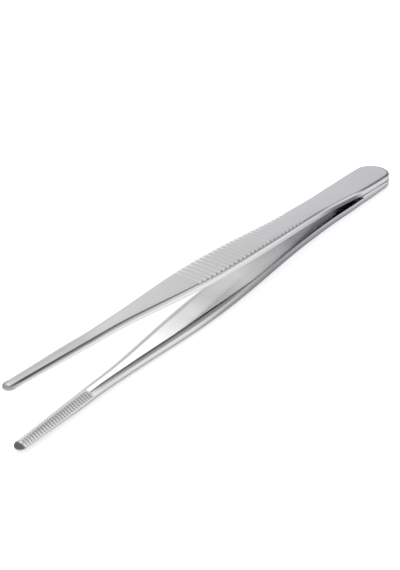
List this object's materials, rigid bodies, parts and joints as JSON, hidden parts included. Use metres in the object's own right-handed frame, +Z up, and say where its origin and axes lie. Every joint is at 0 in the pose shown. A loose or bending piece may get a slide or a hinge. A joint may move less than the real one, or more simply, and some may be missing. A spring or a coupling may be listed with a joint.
{
  "type": "tweezers",
  "caption": "Spring tweezers: steel arms welded at a rounded butt with a thin pad between, cross-grooved finger grips, and slim jaws with fine cross teeth.",
  "frame": {"origin": "on the surface the tweezers lie on, under the middle of their length and width", "axes": "+X from the butt to the tips, +Y across the width, +Z up, from the lower arm to the upper arm"},
  "size_m": [0.1452, 0.0104, 0.018],
  "materials": {
    "satin_steel": "satin outer faces, polished inner faces and edges"
  },
  "bodies": {
    "butt": {"upper_butt": "satin_steel", "lower_butt": "satin_steel", "spot_weld": "satin_steel", "upper_neck": "satin_steel", "lower_neck": "satin_steel"},
    "upper": {"upper_arm": "satin_steel"},
    "lower": {"lower_arm": "satin_steel"}
  },
  "joints": [
    {"name": "upper_arm_flex", "type": "hinge", "parent": "butt", "child": "upper", "pos_m": [-0.04178, 0, 0.00568], "axis": [0, 1, 0], "range_deg": [0, 3.61], "stiffness_Nm_per_rad": 2.5, "deforming": ["upper_neck"]},
    {"name": "lower_arm_flex", "type": "hinge", "parent": "butt", "child": "lower", "pos_m": [-0.04156, 0, 0.00124], "axis": [0, -1, 0], "range_deg": [0, 3.61], "stiffness_Nm_per_rad": 2.5, "deforming": ["lower_neck"]}
  ],
  "couplings": [
    {"joint": "lower_arm_flex", "follows": "upper_arm_flex", "ratio": 1}
  ]
}
